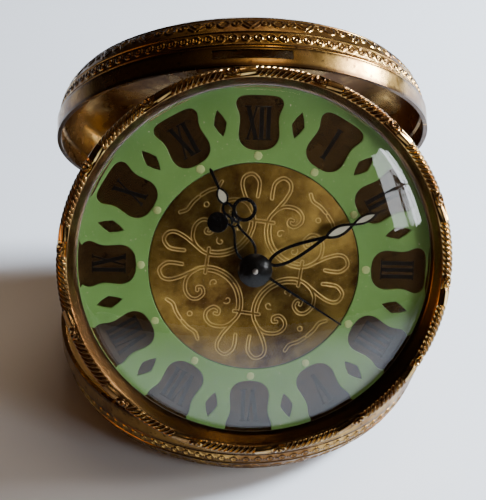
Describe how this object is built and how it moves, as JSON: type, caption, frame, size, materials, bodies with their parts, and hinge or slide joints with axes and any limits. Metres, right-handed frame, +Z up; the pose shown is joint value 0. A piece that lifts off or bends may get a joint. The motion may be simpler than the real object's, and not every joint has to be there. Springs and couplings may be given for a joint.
{
  "type": "folding travel alarm clock",
  "caption": "Round folding travel alarm clock: two stamped round lids and a hinged drum with a domed crystal and Roman dial, standing as a triangle.",
  "frame": {"origin": "centre of the base shell's flat foot, on the surface it stands on", "axes": "+Z up, +X to the right as seen from the dial side, +Y to the back, where the cover is hinged"},
  "size_m": [0.069, 0.0815, 0.0732],
  "materials": {
    "case_brass": "worn, tarnished polished brass",
    "bezel_brass": "worn polished brass with dark recesses",
    "hinge_steel": "bright",
    "crystal": "clear gloss",
    "dial_gilt": "brown gilt",
    "chapter_green": "satin green lacquer",
    "disc_gold": "sunburst brushed, engraved",
    "numeral_black": "black print",
    "lume": "pale luminous paint",
    "hand_black": "gloss black",
    "movement_brass": "plain turned",
    "movement_steel": "plain turned",
    "seat_black": "matt"
  },
  "bodies": {
    "base": {"base_shell": "case_brass", "rear_hinge_knuckles": "case_brass", "rear_hinge_pin": "hinge_steel", "front_hinge_knuckles": "case_brass", "front_hinge_pin": "hinge_steel"},
    "cover": {"cover_shell": "case_brass", "cover_hinge_knuckle": "case_brass"},
    "drum": {"bezel": "bezel_brass", "crystal": "crystal", "crystal_seat": "seat_black", "drum_case": "case_brass", "back_cover": "case_brass", "back_screws": "hinge_steel", "back_posts": "movement_brass", "prop_ledge": "case_brass", "catch_ledge": "case_brass", "drum_hinge_leaf": "case_brass", "dial_plate": "dial_gilt", "chapter_ring": "chapter_green", "centre_disc": "disc_gold", "numerals": "numeral_black", "luminous_dots": "lume", "front_plate": "movement_brass", "back_plate": "movement_brass", "plate_pillars": "movement_brass", "alarm_barrel": "movement_brass", "fourth_wheel": "movement_brass", "escape_wheel": "movement_brass", "pallet_lever": "movement_steel", "hairspring": "movement_steel"},
    "minute_works": {"minute_hand": "hand_black", "hand_boss": "hand_black", "centre_wheel": "movement_brass", "time_set_knob": "case_brass"},
    "hour_works": {"hour_hand": "hand_black"},
    "alarm_works": {"alarm_hand": "hand_black"},
    "third_wheel": {"third_wheel": "movement_brass"},
    "mainspring_barrel": {"mainspring_barrel": "movement_brass"},
    "balance": {"balance_wheel": "movement_brass"},
    "hammer": {"alarm_hammer": "movement_steel"},
    "time_key": {"time_winding_key": "case_brass"},
    "alarm_key": {"alarm_winding_key": "case_brass"},
    "alarm_knob": {"alarm_set_knob": "case_brass"},
    "stop_button": {"alarm_stop_button": "hinge_steel"}
  },
  "joints": [
    {"name": "cover_hinge", "type": "hinge", "parent": "base", "child": "cover", "pos_m": [0, 0.0356, 0.0126], "axis": [-1, 0, 0], "range_deg": [0, 120]},
    {"name": "drum_fold", "type": "hinge", "parent": "base", "child": "drum", "pos_m": [0, -0.0319, 0.0115], "axis": [-1, 0, 0], "range_deg": [0, 64.4]},
    {"name": "minute_turn", "type": "hinge", "parent": "drum", "child": "minute_works", "pos_m": [0, -0.01976, 0.03961], "axis": [0, 0.9018, -0.4321], "continuous": true},
    {"name": "hour_turn", "type": "hinge", "parent": "drum", "child": "hour_works", "pos_m": [0, -0.01976, 0.03961], "axis": [0, 0.9018, -0.4321], "continuous": true},
    {"name": "third_wheel_turn", "type": "hinge", "parent": "drum", "child": "third_wheel", "pos_m": [0.00408, -0.01671, 0.04599], "axis": [0, 0.9018, -0.4321], "continuous": true},
    {"name": "mainspring_barrel_turn", "type": "hinge", "parent": "drum", "child": "mainspring_barrel", "pos_m": [-0.01008, -0.01976, 0.03961], "axis": [0, 0.9018, -0.4321], "continuous": true},
    {"name": "alarm_hand_turn", "type": "hinge", "parent": "drum", "child": "alarm_works", "pos_m": [0, -0.01976, 0.03961], "axis": [0, 0.9018, -0.4321], "continuous": true},
    {"name": "alarm_set_knob_turn", "type": "hinge", "parent": "drum", "child": "alarm_knob", "pos_m": [0.0135, -0.01458, 0.05044], "axis": [0, 0.9018, -0.4321], "continuous": true},
    {"name": "time_key_turn", "type": "hinge", "parent": "drum", "child": "time_key", "pos_m": [-0.01008, -0.01976, 0.03961], "axis": [0, 0.9018, -0.4321], "continuous": true},
    {"name": "alarm_key_turn", "type": "hinge", "parent": "drum", "child": "alarm_key", "pos_m": [-0.003, -0.02611, 0.02636], "axis": [0, 0.9018, -0.4321], "continuous": true},
    {"name": "balance_swing", "type": "hinge", "parent": "drum", "child": "balance", "pos_m": [0.016, -0.02395, 0.03087], "axis": [0, 0.9018, -0.4321], "range_deg": [-150, 150], "stiffness_Nm_per_rad": 0.000002},
    {"name": "hammer_swing", "type": "hinge", "parent": "drum", "child": "hammer", "pos_m": [-0.0155, -0.0135, 0.05269], "axis": [0, 0.9018, -0.4321], "range_deg": [-8, 8], "stiffness_Nm_per_rad": 0.001},
    {"name": "stop_button_press", "type": "slide", "parent": "drum", "child": "stop_button", "axis": [0, -0.9018, 0.4321], "range_m": [0, 0.0008], "stiffness_N_per_m": 200}
  ],
  "couplings": [
    {"joint": "drum_fold", "follows": "cover_hinge", "ratio": 0.5366},
    {"joint": "hour_turn", "follows": "minute_turn", "ratio": 0.083333},
    {"joint": "third_wheel_turn", "follows": "minute_turn", "ratio": -7.5},
    {"joint": "mainspring_barrel_turn", "follows": "minute_turn", "ratio": -0.125},
    {"joint": "alarm_set_knob_turn", "follows": "alarm_hand_turn", "ratio": -1}
  ]
}
